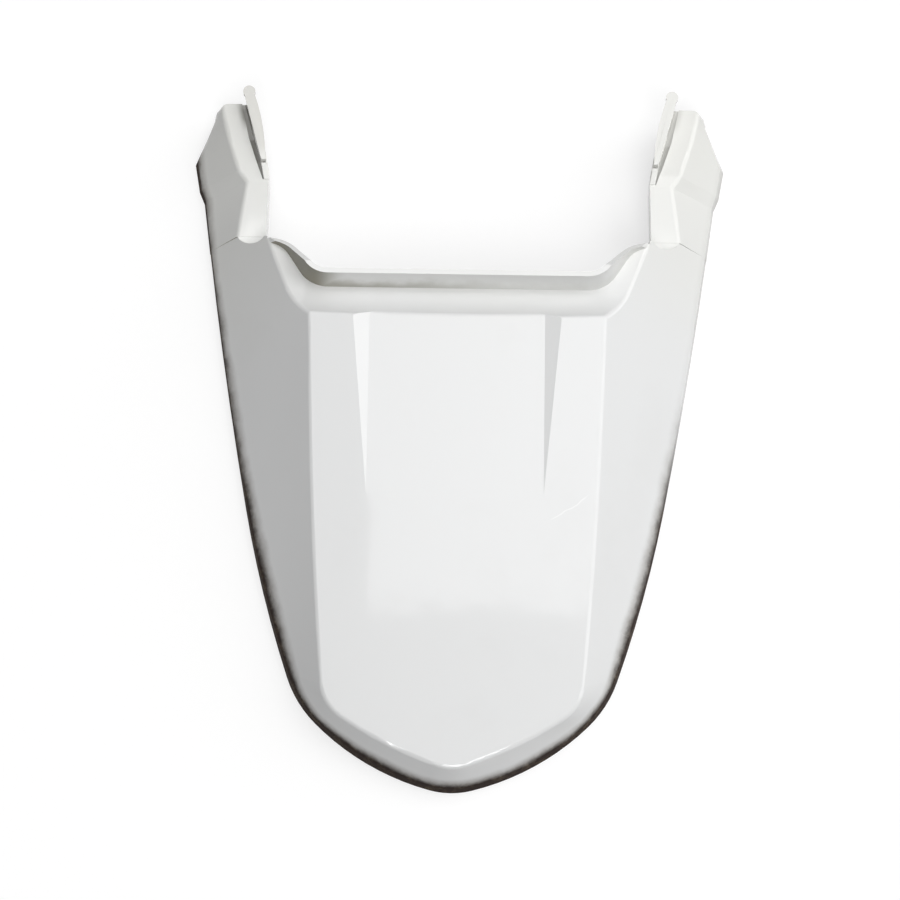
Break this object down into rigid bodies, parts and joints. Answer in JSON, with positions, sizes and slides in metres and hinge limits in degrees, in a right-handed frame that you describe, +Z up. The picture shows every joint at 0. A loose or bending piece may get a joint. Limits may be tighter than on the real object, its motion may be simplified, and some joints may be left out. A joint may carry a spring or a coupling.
{
  "type": "motorcycle tail fairing",
  "caption": "Shield-shaped glossy plastic tail cowl with a sunk deck panel, a raised lip round the seat cut-out and two forward arms that end in locating ears.",
  "frame": {"origin": "on the plane the rim stands on, midway along the overall length and across the width", "axes": "+Y to the front of the motorcycle (the arms), -Y to the tail tip, +Z up, X across"},
  "size_m": [0.2748, 0.3615, 0.0573],
  "materials": {
    "gloss_white_plastic": "high gloss, moulded in colour"
  },
  "bodies": {
    "root": {"tail_fairing": "gloss_white_plastic"}
  },
  "joints": []
}
